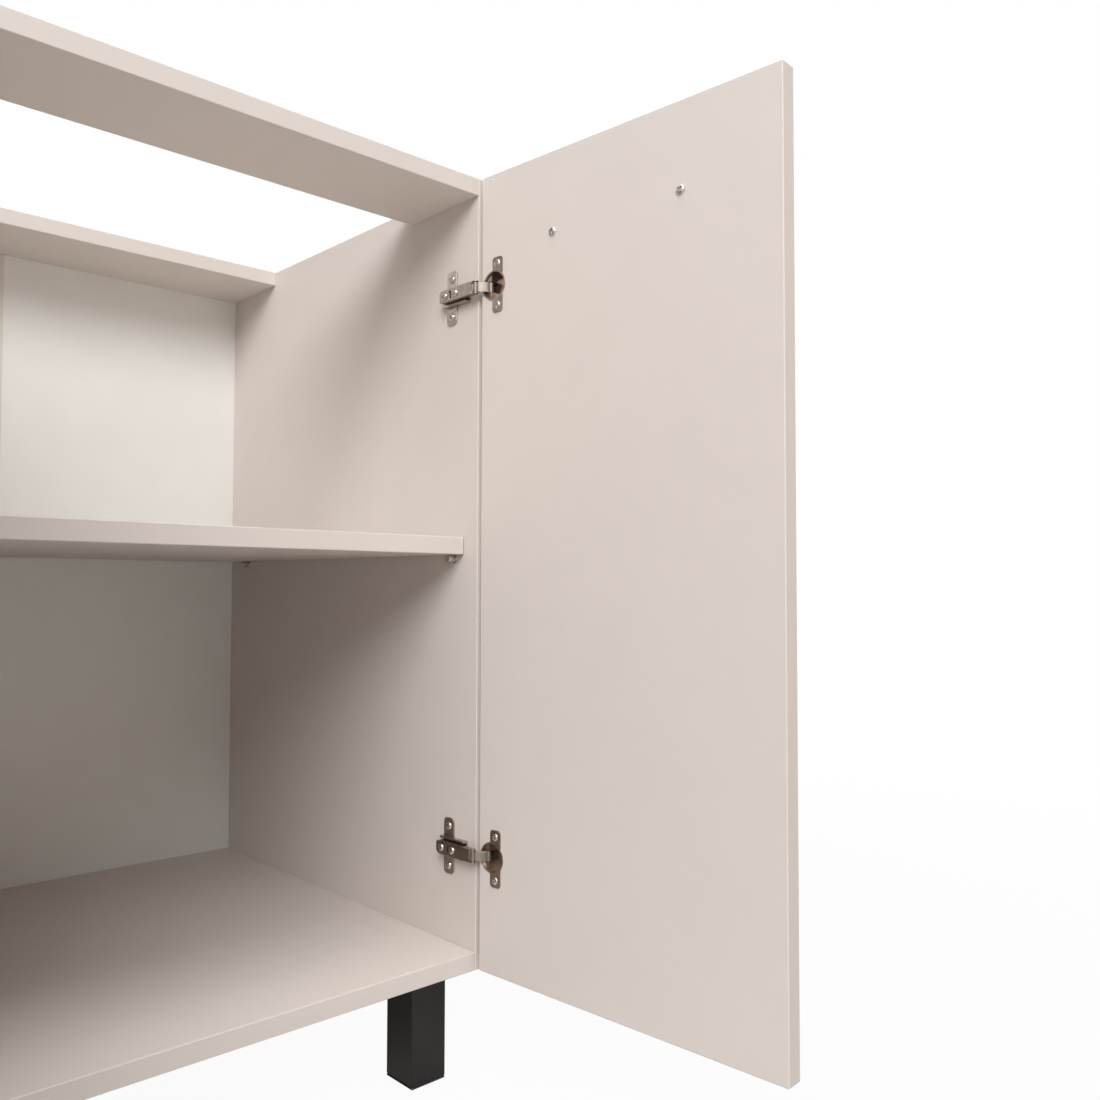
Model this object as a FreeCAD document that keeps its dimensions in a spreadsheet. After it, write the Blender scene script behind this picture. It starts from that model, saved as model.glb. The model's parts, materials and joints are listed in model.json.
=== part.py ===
import FreeCAD, Part
import math
import os
from types import SimpleNamespace

import Sketcher

# A two-door kitchen base cabinet, millimetres, +Z up, front towards -Y.
# The origin is on the floor, midway across the width and midway between the open doors' edges and the back.

Vector = FreeCAD.Vector
Rotation = FreeCAD.Rotation
Placement = FreeCAD.Placement

DRIVING_SIZES = {
    # carcass boards
    "cabinet_width": 600,
    "carcass_height": 720,
    "carcass_depth": 470,
    "board": 16,
    "edge_chamfer": 0.6,
    "rail_width": 101,
    # back
    "back_board": 3,
    "back_inset": 1.5,
    "strip_flange_width": 12,
    "strip_flange": 0.8,
    "strip_web": 1.2,
    "strip_end_gap": 0.5,
    "nail_diameter": 1.6,
    "nail_length": 18,
    "nail_head_diameter": 4.5,
    "nail_head_height": 0.6,
    "nail_end_distance": 40,
    "screw_head_bevel": 1,
    # shelf
    "shelf_setback": 18,
    "shelf_rear_gap": 2,
    "shelf_side_gap": 1,
    "shelf_pin_level": 370,
    "shelf_pin_front": 32,
    "shelf_pin_rear": 44,
    "shelf_pin_diameter": 5,
    "shelf_pin_depth": 9,
    "shelf_pin_nose_diameter": 7,
    "shelf_pin_nose_length": 9,
    "shelf_pin_collar_diameter": 9,
    "shelf_pin_collar": 0.7,
    # corner fittings
    "fitting_setback": 96,
    "fitting_pitch": 32,
    "rail_fitting_setback": 34,
    "cam_diameter": 15,
    "cam_height": 12.5,
    "cam_end_distance": 34,
    "cam_bolt_diameter": 6,
    "cam_bolt_depth": 10,
    "dowel_diameter": 8,
    "dowel_depth": 10,
    "dowel_reach": 24,
    "drill_clearance": 0.05,
    "drill_spare": 0.5,
    # legs
    "leg_height": 100,
    "leg_width": 38,
    "leg_wall": 2.5,
    "leg_top_wall": 6,
    "leg_side_gap": 12.5,
    "leg_front_setback": 26.5,
    "leg_rear_setback": 26.5,
    "leg_edge_chamfer": 0.8,
    "cap_lip": 2,
    "cap_plug_height": 10,
    "cap_clearance": 0.15,
    "leg_bolt_diameter": 8,
    "leg_bolt_grip": 11,
    "leg_bolt_head_diameter": 16,
    "leg_bolt_head_height": 5,
    # doors
    "door_reveal": 1.5,
    "door_middle_gap": 3,
    "door_end_gap": 2,
    "door_gap": 2,
    "door_open_angle": 94,
    # handles
    "handle_spacing": 128,
    "handle_drop": 70,
    "handle_reach": 30,
    "handle_bar": 8,
    "handle_post": 10,
    "handle_height": 10,
    "handle_chamfer": 1,
    "handle_screw_diameter": 4,
    "handle_screw_grip": 12,
    "handle_screw_head_diameter": 8,
    "handle_screw_head_height": 2.2,
    # hinge cup
    "hinge_end_distance": 102,
    "cup_diameter": 26,
    "cup_wall": 0.8,
    "cup_depth": 10.5,
    "cup_edge_distance": 2.5,
    "cup_clearance": 0.1,
    "cup_rim_width": 0.7,
    "cup_rim_height": 0.5,
    "cup_rim_round": 0.3,
    "cup_foot_round": 1.5,
    "cup_cheek_reach": 3,
    "cup_cheek_drop": 1,
    "cup_flange_width": 12,
    "cup_flange_height": 50,
    "cup_flange": 1,
    "cup_flange_offset": 4.7,
    "cup_flange_corner": 3,
    "cup_screw_spacing": 38,
    "cup_screw_diameter": 3,
    "cup_screw_length": 10,
    "cup_screw_head_diameter": 7,
    "cup_screw_head_height": 1.4,
    # hinge link and pins
    "hinge_pin_diameter": 2.5,
    "pin_running_clearance": 0.05,
    "pin_end_stub": 0.3,
    "cup_pin_edge_distance": 8.3,
    "cup_pin_depth": 3.5,
    "arm_pin_inset": 8,
    "arm_pin_fore": 5,
    "link_turn": 34.9,
    "link_height": 9,
    "link_sheet": 1.5,
    "link_eye_wall": 1,
    "link_bend": 1.6,
    "link_knee": 4.2,
    "link_side_gap": 0.4,
    # hinge arm
    "arm_sheet": 1,
    "arm_nose_radius": 2.8,
    "arm_web_front": 2.2,
    "arm_tail": 43,
    "arm_tail_round": 3,
    "arm_window_length": 3,
    "arm_window_height": 7,
    "arm_cheek_step": 10,
    "arm_cheek_gap": 2.2,
    "arm_rear_screw": 36,
    "arm_front_screw": 21,
    "arm_screw_diameter": 4,
    "arm_screw_head_diameter": 7,
    "arm_screw_head_height": 2,
    # hinge mounting plate
    "plate_setback": 36.5,
    "plate_sheet": 1.5,
    "plate_wing_width": 14,
    "plate_wing_height": 51,
    "plate_wing_corner": 4,
    "plate_screw_spacing": 36,
    "plate_screw_diameter": 3.5,
    "plate_screw_length": 11,
    "plate_screw_head_diameter": 7.5,
    "plate_screw_head_height": 1.8,
    "plate_front": 11,
    "plate_rear": 45,
    "ridge_gap": 0.6,
    "ridge_wall": 2.2,
    "ridge_end_round": 1,
    "ridge_height": 5.5,
    "saddle_side_gap": 0.4,
}
NAILS_UP_EACH_SIDE = 4
NAILS_ACROSS_EACH_HALF = 2

TOUCH = 0.001
SMALLEST_CUT = 0.01

doc = FreeCAD.newDocument("base_cabinet")
sheet = doc.addObject("Spreadsheet::Sheet", "Sizes")
for row, (alias, amount) in enumerate(DRIVING_SIZES.items(), start=1):
    sheet.set(f"A{row}", alias.replace("_", " "))
    sheet.set(f"B{row}", str(amount))
    sheet.setAlias(f"B{row}", alias)
doc.recompute()


def number(value):
    return value.number if isinstance(value, Size) else float(value)


def text(value):
    return value.text if isinstance(value, Size) else repr(float(value))


class Size:
    """A length that holds its number and the sheet expression that gives it."""

    def __init__(self, amount, expression):
        self.number = amount
        self.text = expression

    def __add__(self, other):
        return Size(self.number + number(other), f"({self.text} + {text(other)})")

    def __radd__(self, other):
        return Size(number(other) + self.number, f"({text(other)} + {self.text})")

    def __sub__(self, other):
        return Size(self.number - number(other), f"({self.text} - {text(other)})")

    def __rsub__(self, other):
        return Size(number(other) - self.number, f"({text(other)} - {self.text})")

    def __mul__(self, other):
        return Size(self.number * number(other), f"({self.text} * {text(other)})")

    def __rmul__(self, other):
        return Size(number(other) * self.number, f"({text(other)} * {self.text})")

    def __truediv__(self, other):
        return Size(self.number / number(other), f"({self.text} / {text(other)})")

    def __neg__(self):
        return Size(-self.number, f"(-1 * {self.text})")


def half_chord(radius, distance):
    """Half the length of a circle's chord at a distance from its centre."""
    squares = radius * radius - distance * distance
    return Size(math.sqrt(squares.number), f"sqrt({squares.text})")


s = SimpleNamespace(**{alias: Size(float(sheet.get(alias)), f"Sizes.{alias}") for alias in DRIVING_SIZES})
subparts = []


# Document helpers

def keep(feature, label):
    """Marks a feature as a sub-part that gets its own file."""
    feature.Label = label
    subparts.append(feature)
    return feature


def bind(feature, **values):
    """Sets properties and ties each one to the sheet."""
    for name, value in values.items():
        setattr(feature, name, number(value))
        feature.setExpression(name, text(value))


def place(feature, x, y, z, rotation=None):
    """Puts a feature at a point whose coordinates stay tied to the sheet."""
    feature.Placement = Placement(Vector(number(x), number(y), number(z)), rotation or Rotation())
    for axis, value in zip("xyz", (x, y, z)):
        if isinstance(value, Size):
            feature.setExpression(f"Placement.Base.{axis}", value.text)
    return feature


def towards(x, y, z):
    """The rotation that turns +Z to a direction."""
    return Rotation(Vector(0, 0, 1), Vector(x, y, z))


RIGHT, LEFT = towards(1, 0, 0), towards(-1, 0, 0)
FRONT = towards(0, -1, 0)
UP, DOWN = Rotation(), Rotation(Vector(1, 0, 0), 180)


def rod(diameter, length, x, y, z, rotation):
    """A cylinder from a point along a direction."""
    cylinder = doc.addObject("Part::Cylinder", "Rod")
    bind(cylinder, Radius=diameter / 2, Height=length)
    return place(cylinder, x, y, z, rotation)


def screw(head_diameter, head_height, diameter, length, x, y, z, rotation):
    """A screw seated at a point, its shank along the direction and its bevelled head the other way."""
    shank = rod(diameter, length, x, y, z, rotation)
    head = doc.addObject("Part::Cone", "Head")
    bind(head, Radius1=head_diameter / 2, Radius2=head_diameter / 2 - s.screw_head_bevel, Height=head_height)
    place(head, x, y, z, rotation * Rotation(Vector(1, 0, 0), 180))
    return fuse([shank, head])


def fuse(pieces):
    union = doc.addObject("Part::MultiFuse", "Union")
    union.Shapes = pieces
    return union


def group(label, pieces):
    """One sub-part made of separate like pieces."""
    compound = doc.addObject("Part::Compound", label)
    compound.Links = pieces
    return keep(compound, label)


def drilled(label, blank, bores):
    """A board with its holes."""
    board = doc.addObject("Part::Cut", label)
    board.Base = blank
    board.Tool = fuse(bores) if len(bores) > 1 else bores[0]
    return keep(board, label)


def new_body(name):
    return doc.addObject("PartDesign::Body", name)


def new_sketch(body, plane, level=0):
    """A sketch on one of the body's own origin planes, raised by a level along the plane's normal."""
    sketch = body.newObject("Sketcher::SketchObject", "Sketch")
    support = next(item for item in body.Origin.OriginFeatures if item.Role == plane)
    sketch.AttachmentSupport = (support, [""])
    sketch.MapMode = "FlatFace"
    sketch.AttachmentOffset = Placement(Vector(0, 0, number(level)), Rotation())
    if isinstance(level, Size):
        sketch.setExpression("AttachmentOffset.Base.z", level.text)
    return sketch


def fix_point(sketch, curve, end, x, y):
    """Holds a sketch point at its distances from the sketch's origin."""
    for kind, value in (("DistanceX", x), ("DistanceY", y)):
        index = sketch.addConstraint(Sketcher.Constraint(kind, -1, 1, curve, end, number(value)))
        if isinstance(value, Size):
            sketch.setExpression(f"Constraints[{index}]", value.text)


def polygon(sketch, points):
    """A closed outline of straight runs through the points."""
    corners = [Vector(number(x), number(y), 0) for x, y in points]
    first = sketch.GeometryCount
    for start, end in zip(corners, corners[1:] + corners[:1]):
        sketch.addGeometry(Part.LineSegment(start, end))
    for index, (x, y) in enumerate(points):
        following = first + (index + 1) % len(points)
        sketch.addConstraint(Sketcher.Constraint("Coincident", first + index, 2, following, 1))
        fix_point(sketch, first + index, 1, x, y)


def rectangle(sketch, x_low, x_high, y_low, y_high):
    polygon(sketch, [(x_low, y_low), (x_high, y_low), (x_high, y_high), (x_low, y_high)])


def circle(sketch, x, y, diameter):
    whole = Part.Circle(Vector(number(x), number(y), 0), Vector(0, 0, 1), number(diameter) / 2)
    curve = sketch.addGeometry(whole)
    fix_point(sketch, curve, 3, x, y)
    index = sketch.addConstraint(Sketcher.Constraint("Diameter", curve, number(diameter)))
    sketch.setExpression(f"Constraints[{index}]", text(diameter))


def arc(sketch, x, y, radius, start_degrees, end_degrees):
    """An arc, counterclockwise, held at its centre and radius."""
    whole = Part.Circle(Vector(number(x), number(y), 0), Vector(0, 0, 1), number(radius))
    turn = (math.radians(start_degrees), math.radians(end_degrees))
    curve = sketch.addGeometry(Part.ArcOfCircle(whole, *turn))
    fix_point(sketch, curve, 3, x, y)
    index = sketch.addConstraint(Sketcher.Constraint("Radius", curve, number(radius)))
    sketch.setExpression(f"Constraints[{index}]", text(radius))
    return curve


def rounded_rectangle(sketch, x_low, x_high, y_low, y_high, radius):
    """A rectangle whose corners are quarter circles, each tangent to its two sides."""
    centres = [(x_low + radius, y_low + radius), (x_high - radius, y_low + radius),
               (x_high - radius, y_high - radius), (x_low + radius, y_high - radius)]
    corners = [arc(sketch, x, y, radius, start, start + 90)
               for (x, y), start in zip(centres, (180, 270, 0, 90))]
    for corner, following in zip(corners, corners[1:] + corners[:1]):
        start, end = sketch.getPoint(corner, 2), sketch.getPoint(following, 1)
        run = sketch.addGeometry(Part.LineSegment(start, end))
        sketch.addConstraint(Sketcher.Constraint("Tangent", corner, 2, run, 1))
        sketch.addConstraint(Sketcher.Constraint("Tangent", run, 2, following, 1))


def pad(body, sketch, length, symmetric=False):
    feature = body.newObject("PartDesign::Pad", "Pad")
    feature.Profile = sketch
    feature.SideType = "Symmetric" if symmetric else "One side"
    bind(feature, Length=length)
    return feature


def pocket(body, sketch, depth, symmetric=False, along_normal=False):
    """A cut of a set depth, against the sketch's normal unless told otherwise."""
    feature = body.newObject("PartDesign::Pocket", "Pocket")
    feature.Profile = sketch
    feature.SideType = "Symmetric" if symmetric else "One side"
    feature.Reversed = along_normal
    bind(feature, Length=depth)
    return feature


def fillet(body, feature, radius, wanted):
    """Rounds the edges of the body so far that the test picks."""
    doc.recompute()
    names = [f"Edge{index}" for index, edge in enumerate(feature.Shape.Edges, start=1) if wanted(edge)]
    rounding = body.newObject("PartDesign::Fillet", "Fillet")
    rounding.Base = (feature, names)
    bind(rounding, Radius=radius)
    return rounding


def near(first, second):
    return abs(number(first) - number(second)) < TOUCH


def chamfer(body, feature, size):
    """A small chamfer on every edge of the body so far."""
    edges = body.newObject("PartDesign::Chamfer", "Chamfer")
    edges.Base = (feature, ["Edge1"])
    edges.UseAllEdges = True
    bind(edges, Size=size)
    return edges


def blank_board(name, length, width, height, x, y, z):
    """A plain edged board from its low corner."""
    body = new_body(name)
    sketch = new_sketch(body, "XY_Plane")
    rectangle(sketch, 0, length, 0, width)
    chamfer(body, pad(body, sketch, height), s.edge_chamfer)
    place(body, x, y, z)
    return body


# Places shared by the pieces

inner_half = s.cabinet_width / 2 - s.board
carcass_top = s.leg_height + s.carcass_height
rail_level = carcass_top - s.board
door_width = (s.cabinet_width - 2 * s.door_reveal - s.door_middle_gap) / 2
door_height = s.carcass_height - 2 * s.door_end_gap
cup_centre = s.cup_edge_distance + s.cup_diameter / 2
cup_inner_radius = s.cup_diameter / 2 - s.cup_wall
flange_centre = cup_centre + s.cup_flange_offset
hinge_levels = {
    "upper": s.leg_height + s.door_end_gap + door_height - s.hinge_end_distance,
    "lower": s.leg_height + s.door_end_gap + s.hinge_end_distance,
}
SIDES = {"right": 1, "left": -1}


def turned(x, y, degrees):
    """A plane point turned about the origin."""
    angle = math.radians(degrees)
    return x * math.cos(angle) - y * math.sin(angle), x * math.sin(angle) + y * math.cos(angle)


def hinge_chain():
    """Where the right door stands when open, from the closed door and the turn of the hinge links.

    Places are measured from the middle of the carcass's front edge. The link turns about the arm pin,
    and the door turns on about the cup pin.
    """
    corner_x = number(s.cabinet_width / 2 - s.door_reveal)
    corner_y = -number(s.door_gap)
    arm_x, arm_y = number(inner_half - s.arm_pin_inset), -number(s.arm_pin_fore)
    closed_x = corner_x - number(s.cup_pin_edge_distance)
    closed_y = corner_y - number(s.cup_pin_depth)
    reach_x, reach_y = turned(closed_x - arm_x, closed_y - arm_y, -number(s.link_turn))
    pin_x, pin_y = arm_x + reach_x, arm_y + reach_y
    back_x, back_y = turned(corner_x - closed_x, corner_y - closed_y, number(s.door_open_angle))
    return SimpleNamespace(
        arm=(arm_x, arm_y),
        cup=(pin_x, pin_y),
        corner=(pin_x + back_x, pin_y + back_y),
        length=math.hypot(reach_x, reach_y),
        angle=math.degrees(math.atan2(reach_y, reach_x)),
    )


chain = hinge_chain()
lean = math.radians(number(s.door_open_angle) - 90)
door_edge_y = chain.corner[1] - number(door_width) * math.cos(lean)
strip_rear_y = number(s.carcass_depth + s.back_board + s.strip_flange)
front_y = -(door_edge_y + strip_rear_y) / 2


def door_frame(side):
    """The open door's own frame: its corner at the hinge edge and inner face, turned from closed."""
    base = Vector(side * chain.corner[0], front_y + chain.corner[1], number(s.leg_height + s.door_end_gap))
    return Placement(base, Rotation(Vector(0, 0, 1), side * number(s.door_open_angle)))


# Carcass boards, shelf and back

def end_fittings():
    """Cam locks, cam bolts and dowels between the side panels and the boards across, with their holes."""
    boards = ("side_panel_right", "side_panel_left", "bottom_panel", "front_rail", "rear_rail")
    bores = {board: [] for board in boards}
    pieces = {"cam_bolts": [], "cam_locks": [], "dowels": []}
    rear_rail_y = s.carcass_depth - s.rail_width
    rows = (
        ("bottom_panel", s.fitting_setback, s.fitting_setback + s.fitting_pitch, s.leg_height, UP),
        ("bottom_panel", s.carcass_depth - s.fitting_setback,
         s.carcass_depth - s.fitting_setback - s.fitting_pitch, s.leg_height, UP),
        ("front_rail", s.rail_fitting_setback, s.rail_fitting_setback + s.fitting_pitch, carcass_top, DOWN),
        ("rear_rail", rear_rail_y + s.rail_fitting_setback,
         rear_rail_y + s.rail_fitting_setback + s.fitting_pitch, carcass_top, DOWN),
    )
    wide = 2 * s.drill_clearance
    bolt_reach = s.cam_end_distance - s.cam_diameter / 2
    dowel_hole = s.dowel_reach + s.drill_spare
    for board, cam_y, dowel_y, cam_level, inwards in rows:
        middle = cam_level + (s.board / 2 if inwards is UP else -s.board / 2)
        for name, side in SIDES.items():
            outwards = RIGHT if side > 0 else LEFT
            cam_x = side * (inner_half - s.cam_end_distance)
            cam_seat = (cam_x, front_y + cam_y, cam_level, inwards)
            bolt_bore = (cam_x, front_y + cam_y, middle, outwards)
            bolt_start = (side * (inner_half - bolt_reach), front_y + cam_y, middle, outwards)
            bolt_mouth = (side * inner_half, front_y + cam_y, middle, outwards)
            dowel_start = (side * (inner_half - s.dowel_reach), front_y + dowel_y, middle, outwards)
            dowel_bore = (side * (inner_half - dowel_hole), front_y + dowel_y, middle, outwards)
            dowel_mouth = (side * inner_half, front_y + dowel_y, middle, outwards)
            pieces["cam_locks"].append(rod(s.cam_diameter, s.cam_height, *cam_seat))
            pieces["cam_bolts"].append(rod(s.cam_bolt_diameter, bolt_reach + s.cam_bolt_depth, *bolt_start))
            pieces["dowels"].append(rod(s.dowel_diameter, s.dowel_reach + s.dowel_depth, *dowel_start))
            bores[board] += [
                rod(s.cam_diameter + wide, s.cam_height + s.drill_spare, *cam_seat),
                rod(s.cam_bolt_diameter + wide, s.cam_end_distance, *bolt_bore),
                rod(s.dowel_diameter + wide, dowel_hole, *dowel_bore),
            ]
            bores[f"side_panel_{name}"] += [
                rod(s.cam_bolt_diameter + wide, s.cam_bolt_depth + s.drill_spare, *bolt_mouth),
                rod(s.dowel_diameter + wide, s.dowel_depth + s.drill_spare, *dowel_mouth),
            ]
    for label, members in pieces.items():
        group(label, members)
    return bores


def shelf_supports(bores):
    """Collared metal pins in the side panels, under the shelf."""
    pins = []
    hole = s.shelf_pin_diameter + 2 * s.drill_clearance
    for name, side in SIDES.items():
        outwards, inwards = (RIGHT, LEFT) if side > 0 else (LEFT, RIGHT)
        for y in (s.shelf_pin_front, s.carcass_depth - s.shelf_pin_rear):
            at = (side * inner_half, front_y + y, s.leg_height + s.shelf_pin_level)
            shank = rod(s.shelf_pin_diameter, s.shelf_pin_depth, *at, outwards)
            collar = rod(s.shelf_pin_collar_diameter, s.shelf_pin_collar, *at, inwards)
            nose = rod(s.shelf_pin_nose_diameter, s.shelf_pin_nose_length, *at, inwards)
            pins.append(fuse([shank, collar, nose]))
            bores[f"side_panel_{name}"].append(rod(hole, s.shelf_pin_depth + s.drill_spare, *at, outwards))
    group("shelf_pins", pins)


def back_nails(bores):
    """Nails that hold the back panels to the edges of the boards."""
    edge_x = s.cabinet_width / 2 - s.board / 2
    low, high = s.leg_height + s.board / 2, carcass_top - s.board / 2
    run = s.carcass_height - 2 * s.nail_end_distance
    spots = []
    for name, side in SIDES.items():
        for step in range(NAILS_UP_EACH_SIDE):
            level = s.leg_height + s.nail_end_distance + run * step / (NAILS_UP_EACH_SIDE - 1)
            spots.append((f"side_panel_{name}", name, side * edge_x, level))
        for board, level in (("bottom_panel", low), ("rear_rail", high)):
            for step in range(NAILS_ACROSS_EACH_HALF):
                share = (step + 0.5) / NAILS_ACROSS_EACH_HALF
                spots.append((board, name, side * inner_half * share, level))
    make = (s.nail_head_diameter, s.nail_head_height, s.nail_diameter, s.nail_length)
    hole = s.nail_diameter + 2 * s.drill_clearance
    depth = s.nail_length + s.drill_spare
    rear_face = front_y + s.carcass_depth + s.back_board
    nails = []
    for board, name, x, z in spots:
        nails.append(screw(*make, x, rear_face, z, FRONT))
        bores[board].append(rod(hole, depth, x, rear_face, z, FRONT))
        bores[f"back_panel_{name}"].append(rod(hole, depth, x, rear_face, z, FRONT))
    group("back_nails", nails)


def joint_strip():
    """An H-section strip that joins the two back panels along the middle."""
    body = new_body("back_joint_strip")
    height = s.carcass_height - 2 * s.back_inset
    half, web = s.strip_flange_width / 2, s.strip_web / 2
    rear = s.back_board + s.strip_flange
    outer = new_sketch(body, "XY_Plane")
    polygon(outer, [(-web, 0), (web, 0), (web, s.back_board), (half, s.back_board),
                    (half, rear), (-half, rear), (-half, s.back_board), (-web, s.back_board)])
    pad(body, outer, height)
    bottom_top = s.board - s.back_inset + s.strip_end_gap
    inner = new_sketch(body, "XY_Plane", bottom_top)
    rectangle(inner, -half, half, -s.strip_flange, 0)
    pad(body, inner, s.carcass_height - 2 * s.board - 2 * s.strip_end_gap)
    place(body, 0, front_y + s.carcass_depth, s.leg_height + s.back_inset)
    keep(body, "back_joint_strip")


def carcass():
    """Side panels, bottom, two top rails, two back panels, the shelf and what holds them together."""
    bores = end_fittings()
    bores.update(back_panel_right=[], back_panel_left=[])
    shelf_supports(bores)
    back_nails(bores)
    plate_screws(bores)
    leg_bolts(bores)
    inner_width = 2 * inner_half
    back_width = s.cabinet_width / 2 - s.back_inset - s.strip_web / 2
    back_height = s.carcass_height - 2 * s.back_inset
    rear_y, rear_rail_y = front_y + s.carcass_depth, front_y + s.carcass_depth - s.rail_width
    left_x = -inner_half - s.board
    back_left_x = -s.strip_web / 2 - back_width
    back_level = s.leg_height + s.back_inset
    blanks = {
        "side_panel_right": (s.board, s.carcass_depth, s.carcass_height, inner_half, front_y, s.leg_height),
        "side_panel_left": (s.board, s.carcass_depth, s.carcass_height, left_x, front_y, s.leg_height),
        "bottom_panel": (inner_width, s.carcass_depth, s.board, -inner_half, front_y, s.leg_height),
        "front_rail": (inner_width, s.rail_width, s.board, -inner_half, front_y, rail_level),
        "rear_rail": (inner_width, s.rail_width, s.board, -inner_half, rear_rail_y, rail_level),
        "back_panel_right": (back_width, s.back_board, back_height, s.strip_web / 2, rear_y, back_level),
        "back_panel_left": (back_width, s.back_board, back_height, back_left_x, rear_y, back_level),
    }
    for label, extents in blanks.items():
        drilled(label, blank_board(f"{label}_blank", *extents), bores[label])
    joint_strip()
    shelf_level = s.leg_height + s.shelf_pin_level + s.shelf_pin_nose_diameter / 2
    shelf = blank_board("shelf", inner_width - 2 * s.shelf_side_gap,
                        s.carcass_depth - s.shelf_setback - s.shelf_rear_gap, s.board,
                        s.shelf_side_gap - inner_half, front_y + s.shelf_setback, shelf_level)
    keep(shelf, "shelf")


# Legs

def leg_places():
    """The four legs' names and centres."""
    across = inner_half - s.leg_side_gap - s.leg_width / 2
    rows = {
        "front": s.leg_front_setback + s.leg_width / 2,
        "rear": s.carcass_depth - s.leg_rear_setback - s.leg_width / 2,
    }
    return {f"{row}_{name}": (side * across, front_y + y)
            for row, y in rows.items() for name, side in SIDES.items()}


def leg_bolts(bores):
    """A bolt up through each leg's top wall into the bottom panel."""
    bolts = []
    seat = s.leg_height - s.leg_top_wall
    length = s.leg_top_wall + s.leg_bolt_grip
    make = (s.leg_bolt_head_diameter, s.leg_bolt_head_height, s.leg_bolt_diameter, length)
    hole = s.leg_bolt_diameter + 2 * s.drill_clearance
    for x, y in leg_places().values():
        bolts.append(screw(*make, x, y, seat, UP))
        bores["bottom_panel"].append(rod(hole, s.leg_bolt_grip + s.drill_spare, x, y, s.leg_height, UP))
    group("leg_bolts", bolts)


def leg(name, x, y):
    """A square hollow leg, closed at the top and open at the foot."""
    body = new_body(f"leg_{name}")
    half = s.leg_width / 2
    hollow = half - s.leg_wall
    outer = new_sketch(body, "XY_Plane")
    rectangle(outer, -half, half, -half, half)
    height = s.leg_height - s.cap_lip
    chamfer(body, pad(body, outer, height), s.leg_edge_chamfer)
    inner = new_sketch(body, "XY_Plane")
    rectangle(inner, -hollow, hollow, -hollow, hollow)
    pocket(body, inner, height - s.leg_top_wall, along_normal=True)
    bolt_hole = new_sketch(body, "XY_Plane")
    circle(bolt_hole, 0, 0, s.leg_bolt_diameter + 2 * s.drill_clearance)
    pocket(body, bolt_hole, height, along_normal=True)
    place(body, x, y, s.cap_lip)
    keep(body, f"leg_{name}")


def foot_cap(x, y):
    """A cap with a plug that closes the foot of a leg."""
    body = new_body("foot_cap")
    half = s.leg_width / 2
    plug = half - s.leg_wall - s.cap_clearance
    lip = new_sketch(body, "XY_Plane")
    rectangle(lip, -half, half, -half, half)
    chamfer(body, pad(body, lip, s.cap_lip), s.leg_edge_chamfer)
    wall = new_sketch(body, "XY_Plane", s.cap_lip)
    rectangle(wall, -plug, plug, -plug, plug)
    pad(body, wall, s.cap_plug_height)
    hollow = new_sketch(body, "XY_Plane", s.cap_lip)
    rectangle(hollow, s.leg_wall - plug, plug - s.leg_wall, s.leg_wall - plug, plug - s.leg_wall)
    pocket(body, hollow, s.cap_plug_height, along_normal=True)
    return place(body, x, y, 0)


def legs():
    for name, (x, y) in leg_places().items():
        leg(name, x, y)
    group("foot_caps", [foot_cap(x, y) for x, y in leg_places().values()])


# Hinges: what stays on the carcass

arm_web = s.arm_pin_inset + s.arm_nose_radius
arm_inner = s.link_height / 2 + s.link_side_gap
arm_half = arm_inner + s.arm_sheet
web_underside = arm_web - s.arm_sheet


def on_panel(feature, side, level):
    """Seats a hinge piece drawn with X out of the side panel's inner face and Y from the carcass's front."""
    rotation = Rotation(Vector(0, 1, 0), 180) if side > 0 else Rotation()
    return place(feature, side * inner_half, front_y, level, rotation)


def arm_window(sketch):
    """The slot across the arm between its two screws, seen from the arm's outside."""
    middle = (s.arm_rear_screw + s.arm_front_screw) / 2
    half_length, half_height = s.arm_window_length / 2, s.arm_window_height / 2
    rectangle(sketch, middle - half_length, middle + half_length, -half_height, half_height)


def mounting_plate(label, side, level):
    """A winged plate with a channel between two ridges, and a saddle that fills the arm."""
    body = new_body(label)
    low, high = s.plate_setback - s.plate_wing_width / 2, s.plate_setback + s.plate_wing_width / 2
    top = s.plate_wing_height / 2
    ridge_inside = arm_half + s.ridge_gap
    ridge_outside = ridge_inside + s.ridge_wall
    saddle = arm_inner - s.saddle_side_gap
    wings = new_sketch(body, "YZ_Plane")
    rounded_rectangle(wings, low, high, -top, top, s.plate_wing_corner)
    pad(body, wings, s.plate_sheet)
    floor = new_sketch(body, "YZ_Plane")
    rectangle(floor, s.plate_front, s.plate_rear, -ridge_outside, ridge_outside)
    pad(body, floor, s.plate_sheet)
    for below, above in ((ridge_inside, ridge_outside), (-ridge_outside, -ridge_inside)):
        ridge = new_sketch(body, "YZ_Plane")
        rounded_rectangle(ridge, s.plate_front, s.plate_rear, below, above, s.ridge_end_round)
        pad(body, ridge, s.ridge_height)
    block = new_sketch(body, "YZ_Plane")
    rectangle(block, s.plate_front, s.plate_rear, -saddle, saddle)
    pad(body, block, web_underside)
    holes = new_sketch(body, "YZ_Plane")
    for z in (s.plate_screw_spacing / 2, -s.plate_screw_spacing / 2):
        circle(holes, s.plate_setback, z, s.plate_screw_diameter + 2 * s.drill_clearance)
    for y in (s.arm_rear_screw, s.arm_front_screw):
        circle(holes, y, 0, s.arm_screw_diameter + 2 * s.drill_clearance)
    arm_window(holes)
    pocket(body, holes, web_underside, along_normal=True)
    on_panel(body, side, level)
    keep(body, label)


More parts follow.
